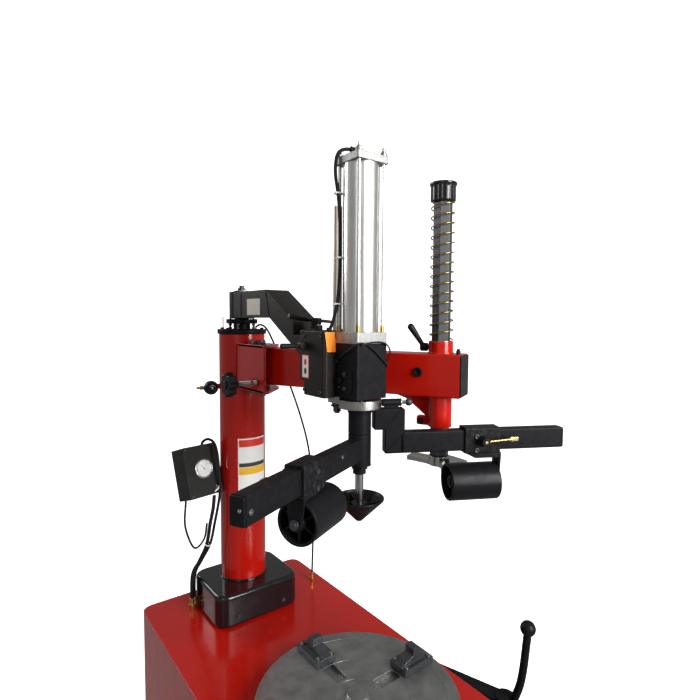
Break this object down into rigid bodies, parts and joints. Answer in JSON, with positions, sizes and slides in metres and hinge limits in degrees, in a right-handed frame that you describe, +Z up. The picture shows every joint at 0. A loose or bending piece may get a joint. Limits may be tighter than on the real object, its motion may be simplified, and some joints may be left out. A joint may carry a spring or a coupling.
{
  "type": "tire changer machine",
  "caption": "Tyre changing machine: a column with a swing arm, mounting head and air press with two roller arms, over a clamping turntable in a pedal-worked cabinet with a bead breaker.",
  "frame": {"origin": "on the floor, on the underside of the base plate, under the vertical axis that the turntable and the press share", "axes": "+Z up, +Y from the turntable's axis towards the column at the back, +X to the operator's right; the operator stands at -Y"},
  "size_m": [0.9748, 1.184, 1.8938],
  "materials": {
    "red_paint": "glossy",
    "black_paint": "satin",
    "brown_black_paint": "satin",
    "gloss_black": "glossy",
    "black_plastic": "satin",
    "cast_grey": "satin",
    "brushed_aluminium": "brushed",
    "zinc": "satin",
    "bright_steel": "polished",
    "dark_steel": "satin",
    "gold_zinc": "satin",
    "rubber": "matt"
  },
  "bodies": {
    "stand": {"base_plate": "red_paint", "cabinet": "red_paint", "bead_pad": "rubber", "column_base": "gloss_black", "column": "red_paint", "column_cap": "black_paint", "arm_bracket": "red_paint", "hinge_pin": "dark_steel", "gauge_box": "black_plastic", "regulator": "black_plastic", "gauge_hose_thin": "rubber", "gauge_hose_thick": "rubber", "service_hose": "rubber", "motor": "dark_steel", "gearbox": "cast_grey", "drive_belt": "rubber", "breaker_cylinder": "brushed_aluminium"},
    "turntable": {"turntable": "cast_grey"},
    "gearbox_pulley": {"gearbox_pulley": "cast_grey"},
    "motor_pulley": {"motor_pulley": "cast_grey"},
    "jaw_1": {"jaw_1": "dark_steel"},
    "jaw_2": {"jaw_2": "dark_steel"},
    "jaw_3": {"jaw_3": "dark_steel"},
    "jaw_4": {"jaw_4": "dark_steel"},
    "pedal_1": {"pedal_1": "black_paint"},
    "pedal_2": {"pedal_2": "black_paint"},
    "pedal_3": {"pedal_3": "black_paint"},
    "breaker_arm": {"breaker_arm": "black_paint"},
    "breaker_blade": {"breaker_blade": "black_paint"},
    "breaker_rod": {"breaker_rod": "bright_steel"},
    "swing_arm": {"swing_arm": "red_paint"},
    "hex_shaft": {"hex_shaft": "dark_steel", "return_spring": "gold_zinc", "mount_head": "bright_steel"},
    "shaft_lock_lever": {"shaft_lock_lever": "black_plastic"},
    "stop_knob": {"stop_knob": "black_plastic"},
    "gooseneck": {"gooseneck_arm": "brown_black_paint"},
    "press_head": {"press_housing": "brown_black_paint", "press_block": "black_paint", "press_base": "cast_grey", "press_barrel": "brushed_aluminium", "press_top_cap": "cast_grey", "guide_tube": "brushed_aluminium", "press_hose": "rubber"},
    "valve_lever": {"valve_lever": "black_plastic"},
    "elbow_lever": {"elbow_lever": "black_plastic"},
    "press_ram": {"piston_rod": "bright_steel", "ram_plate": "zinc"},
    "right_arm": {"right_arm": "black_paint"},
    "index_plunger": {"index_plunger": "dark_steel"},
    "right_sleeve": {"right_sleeve": "black_paint"},
    "right_knob": {"right_knob": "black_plastic"},
    "right_roller": {"right_roller": "black_plastic"},
    "left_arm": {"left_arm": "black_paint"},
    "left_sleeve": {"left_sleeve": "black_paint"},
    "left_knob": {"left_knob": "black_plastic"},
    "left_roller": {"left_roller": "black_plastic"},
    "cone_rod": {"cone_rod": "bright_steel"},
    "cone": {"cone": "black_plastic"},
    "thumb_screw": {"thumb_screw": "dark_steel"}
  },
  "joints": [
    {"name": "turntable_spin", "type": "hinge", "parent": "stand", "child": "turntable", "pos_m": [0, 0, 0.65], "axis": [0, 0, 1], "continuous": true},
    {"name": "gearbox_pulley_spin", "type": "hinge", "parent": "stand", "child": "gearbox_pulley", "pos_m": [0.19, 0.07, 0.47], "axis": [1, 0, 0], "continuous": true},
    {"name": "motor_pulley_spin", "type": "hinge", "parent": "stand", "child": "motor_pulley", "pos_m": [0.19, 0.07, 0.2], "axis": [1, 0, 0], "continuous": true},
    {"name": "jaw_1_slide", "type": "slide", "parent": "turntable", "child": "jaw_1", "axis": [1, 0, 0], "range_m": [-0.06, 0.03]},
    {"name": "jaw_2_slide", "type": "slide", "parent": "turntable", "child": "jaw_2", "axis": [0, 1, 0], "range_m": [-0.06, 0.03]},
    {"name": "jaw_3_slide", "type": "slide", "parent": "turntable", "child": "jaw_3", "axis": [-1, 0, 0], "range_m": [-0.06, 0.03]},
    {"name": "jaw_4_slide", "type": "slide", "parent": "turntable", "child": "jaw_4", "axis": [0, -1, 0], "range_m": [-0.06, 0.03]},
    {"name": "pedal_1_tilt", "type": "hinge", "parent": "stand", "child": "pedal_1", "pos_m": [-0.12, -0.21, 0.09], "axis": [1, 0, 0], "range_deg": [0, 12], "stiffness_Nm_per_rad": 10, "springref_deg": -22.92},
    {"name": "pedal_2_tilt", "type": "hinge", "parent": "stand", "child": "pedal_2", "pos_m": [0, -0.21, 0.09], "axis": [1, 0, 0], "range_deg": [0, 12], "stiffness_Nm_per_rad": 10, "springref_deg": -22.92},
    {"name": "pedal_3_tilt", "type": "hinge", "parent": "stand", "child": "pedal_3", "pos_m": [0.12, -0.21, 0.09], "axis": [1, 0, 0], "range_deg": [0, 12], "stiffness_Nm_per_rad": 10, "springref_deg": -22.92},
    {"name": "breaker_arm_swing", "type": "hinge", "parent": "stand", "child": "breaker_arm", "pos_m": [0.38, 0.52, 0.33], "axis": [0, 0, 1], "range_deg": [-16, 0]},
    {"name": "breaker_rod_slide", "type": "slide", "parent": "stand", "child": "breaker_rod", "axis": [1, 0, 0], "range_m": [-0.06, 0]},
    {"name": "breaker_blade_tilt", "type": "hinge", "parent": "breaker_arm", "child": "breaker_blade", "pos_m": [0.55305, -0.01259, 0.33], "axis": [0, 0, 1], "range_deg": [-5, 5]},
    {"name": "swing_arm_hinge", "type": "hinge", "parent": "stand", "child": "swing_arm", "pos_m": [0, 0.475, 1.39], "axis": [0, 0, 1], "range_deg": [0, 80]},
    {"name": "hex_shaft_slide", "type": "slide", "parent": "swing_arm", "child": "hex_shaft", "axis": [0, 0, -1], "range_m": [0, 0.25], "stiffness_N_per_m": 250, "springref_m": -0.5, "deforming": ["return_spring"]},
    {"name": "shaft_lock_turn", "type": "hinge", "parent": "swing_arm", "child": "shaft_lock_lever", "pos_m": [0.22476, 0.02222, 1.459], "axis": [0.4446, -0.8957, 0], "range_deg": [-30, 40]},
    {"name": "stop_knob_turn", "type": "hinge", "parent": "stand", "child": "stop_knob", "pos_m": [-0.128, 0.404, 1.3485], "axis": [1, 0, 0], "range_deg": [-360, 360]},
    {"name": "gooseneck_hinge", "type": "hinge", "parent": "stand", "child": "gooseneck", "pos_m": [0, 0.595, 1.57], "axis": [0, 0, 1], "range_deg": [-85, 0]},
    {"name": "elbow_hinge", "type": "hinge", "parent": "gooseneck", "child": "press_head", "pos_m": [0, 0.175, 1.44], "axis": [0, 0, 1], "range_deg": [-35, 0]},
    {"name": "valve_lever_tilt", "type": "hinge", "parent": "press_head", "child": "valve_lever", "pos_m": [-0.0835, 0.105, 1.466], "axis": [0, 1, 0], "range_deg": [-15, 15], "stiffness_Nm_per_rad": 1},
    {"name": "elbow_lever_turn", "type": "hinge", "parent": "press_head", "child": "elbow_lever", "pos_m": [0, 0.175, 1.52], "axis": [0, 0, 1], "range_deg": [-12, 30]},
    {"name": "press_slide", "type": "slide", "parent": "press_head", "child": "press_ram", "axis": [0, 0, -1], "range_m": [0, 0.3]},
    {"name": "right_arm_hinge", "type": "hinge", "parent": "press_ram", "child": "right_arm", "pos_m": [0, 0, 1.3], "axis": [0, 0, 1], "range_deg": [-35, 0]},
    {"name": "index_plunger_pull", "type": "slide", "parent": "right_arm", "child": "index_plunger", "axis": [0.8829, -0.4695, 0], "range_m": [-0.005, 0.004]},
    {"name": "right_sleeve_slide", "type": "slide", "parent": "right_arm", "child": "right_sleeve", "axis": [0.8829, -0.4695, 0], "range_m": [-0.06, 0.13]},
    {"name": "right_knob_turn", "type": "hinge", "parent": "right_sleeve", "child": "right_knob", "pos_m": [0.23825, -0.15046, 1.2525], "axis": [0.4695, 0.8829, 0], "range_deg": [-60, 60]},
    {"name": "right_roller_spin", "type": "hinge", "parent": "right_sleeve", "child": "right_roller", "pos_m": [0.23266, -0.12371, 1.154], "axis": [0.8829, -0.4695, 0], "continuous": true},
    {"name": "left_arm_hinge", "type": "hinge", "parent": "press_ram", "child": "left_arm", "pos_m": [0, 0, 1.24], "axis": [0, 0, 1], "range_deg": [-30, 35]},
    {"name": "left_sleeve_slide", "type": "slide", "parent": "left_arm", "child": "left_sleeve", "axis": [-0.8988, -0.4384, 0], "range_m": [-0.05, 0.13]},
    {"name": "left_knob_turn", "type": "hinge", "parent": "left_sleeve", "child": "left_knob", "pos_m": [-0.22042, -0.08414, 1.2415], "axis": [0.4384, -0.8988, 0], "range_deg": [-60, 60]},
    {"name": "left_roller_spin", "type": "hinge", "parent": "left_sleeve", "child": "left_roller", "pos_m": [-0.18335, -0.08943, 1.163], "axis": [-0.8988, -0.4384, 0], "continuous": true},
    {"name": "cone_rod_slide", "type": "slide", "parent": "press_ram", "child": "cone_rod", "axis": [0, 0, -1], "range_m": [0, 0.06]},
    {"name": "cone_spin", "type": "hinge", "parent": "cone_rod", "child": "cone", "pos_m": [0, 0, 1.11], "axis": [0, 0, 1], "continuous": true},
    {"name": "thumb_screw_turn", "type": "hinge", "parent": "press_ram", "child": "thumb_screw", "pos_m": [0.024, 0, 1.1985], "axis": [1, 0, 0], "range_deg": [-360, 360]}
  ],
  "couplings": [
    {"joint": "gearbox_pulley_spin", "follows": "turntable_spin", "ratio": 20},
    {"joint": "motor_pulley_spin", "follows": "turntable_spin", "ratio": 48.6},
    {"joint": "jaw_2_slide", "follows": "jaw_1_slide", "ratio": 1},
    {"joint": "jaw_3_slide", "follows": "jaw_1_slide", "ratio": 1},
    {"joint": "jaw_4_slide", "follows": "jaw_1_slide", "ratio": 1},
    {"joint": "breaker_rod_slide", "follows": "breaker_arm_swing", "m_per_rad": 0.21}
  ]
}
